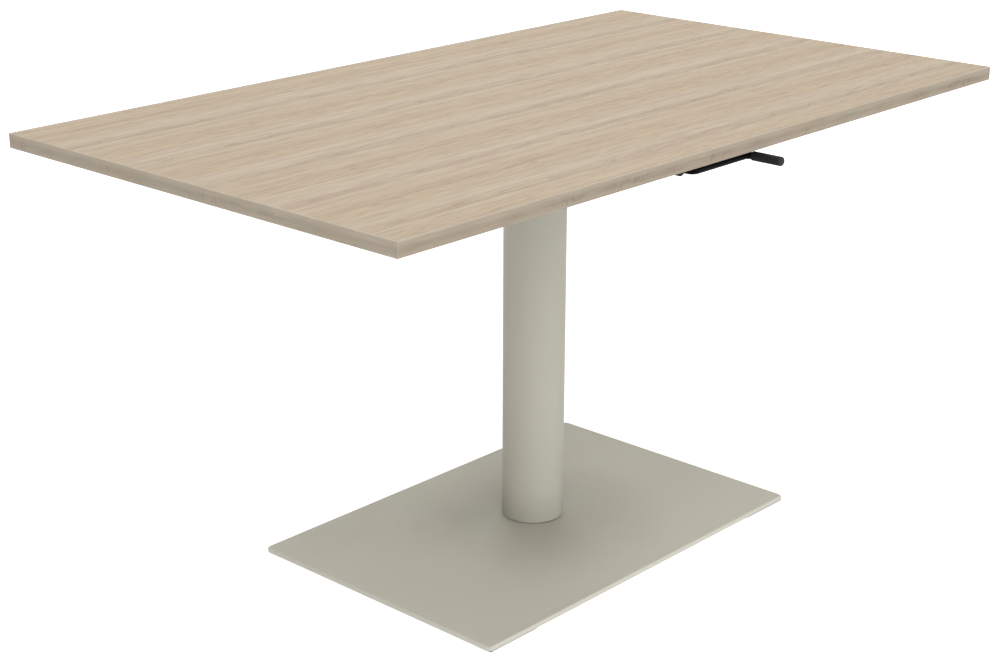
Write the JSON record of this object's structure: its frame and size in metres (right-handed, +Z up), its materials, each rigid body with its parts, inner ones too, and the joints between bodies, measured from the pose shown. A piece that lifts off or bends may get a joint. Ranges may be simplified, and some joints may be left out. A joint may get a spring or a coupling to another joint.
{
  "type": "telescoping pedestal table",
  "caption": "Rectangular wood-decor table on a round telescoping column with a rectangular foot plate and a release lever under the front edge.",
  "frame": {"origin": "on the floor, on the column's axis", "axes": "+Z up along the column, +X along the tabletop's long edge, -Y towards the front edge with the release lever"},
  "size_m": [1.4, 0.837, 0.735],
  "materials": {
    "pebble_grey_coat": "fine matt powder coat, pebble grey",
    "black_coat": "black powder coat",
    "lever_steel": "black coated steel rod",
    "bare_steel": "oiled mild steel",
    "ballast_steel": "scaled steel plate",
    "zinc_steel": "zinc plated",
    "chromed_rod": "hard chromed and polished",
    "guide_plastic": "black acetal",
    "grip_plastic": "moulded black plastic, fine grain",
    "glide_plastic": "dark hard plastic",
    "light_oak_decor": "light oak decor with fine long grain, matt",
    "light_oak_edging": "matching edge band"
  },
  "bodies": {
    "pedestal": {"base_plate": "bare_steel", "base_cover": "pebble_grey_coat", "ballast_plate_lower": "ballast_steel", "ballast_plate_upper": "ballast_steel", "base_boss": "bare_steel", "column_foot_disc": "bare_steel", "column_bolts": "zinc_steel", "ballast_screws": "zinc_steel", "glide_front_left": "glide_plastic", "glide_front_right": "glide_plastic", "glide_rear_left": "glide_plastic", "glide_rear_right": "glide_plastic", "outer_column": "pebble_grey_coat", "upper_guide_bush": "guide_plastic", "gas_spring_stand": "bare_steel", "gas_cylinder": "black_coat"},
    "lifting_top": {"inner_column": "pebble_grey_coat", "lower_guide_bush": "guide_plastic", "guide_key": "zinc_steel", "head_bridge": "bare_steel", "piston_rod": "chromed_rod", "gas_piston": "zinc_steel", "rod_lock_nut": "zinc_steel", "head_plate": "black_coat", "support_rail_front": "black_coat", "support_rail_rear": "black_coat", "end_bar_left": "black_coat", "end_bar_right": "black_coat", "tabletop_core": "light_oak_decor", "edge_band_front": "light_oak_edging", "edge_band_rear": "light_oak_edging", "edge_band_left": "light_oak_edging", "edge_band_right": "light_oak_edging", "frame_screws": "zinc_steel", "clip_screws": "zinc_steel", "rocker_bracket": "black_coat", "rocker_pin": "zinc_steel", "lever_bearing_clip": "guide_plastic", "lever_bush": "guide_plastic"},
    "release_lever": {"lever_rod": "lever_steel", "lever_grip": "grip_plastic", "lever_stop_collar": "zinc_steel", "release_finger": "lever_steel", "finger_pin": "zinc_steel"},
    "rocker": {"release_rocker": "zinc_steel"},
    "valve_pin": {"release_pin": "chromed_rod"}
  },
  "joints": [
    {"name": "column_lift", "type": "slide", "parent": "pedestal", "child": "lifting_top", "axis": [0, 0, 1], "range_m": [0, 0.4]},
    {"name": "lever_turn", "type": "hinge", "parent": "lifting_top", "child": "release_lever", "pos_m": [-0.09, 0, 0.7], "axis": [0, 1, 0], "range_deg": [0, 9], "stiffness_Nm_per_rad": 12, "springref_deg": -5.73},
    {"name": "rocker_turn", "type": "hinge", "parent": "lifting_top", "child": "rocker", "pos_m": [0.03, 0, 0.697], "axis": [0, 1, 0], "range_deg": [-8, 0]},
    {"name": "valve_pin_press", "type": "slide", "parent": "lifting_top", "child": "valve_pin", "axis": [0, 0, -1], "range_m": [0, 0.0042]}
  ],
  "couplings": [
    {"joint": "rocker_turn", "follows": "lever_turn", "ratio": -0.855},
    {"joint": "valve_pin_press", "follows": "lever_turn", "m_per_rad": 0.02565}
  ]
}
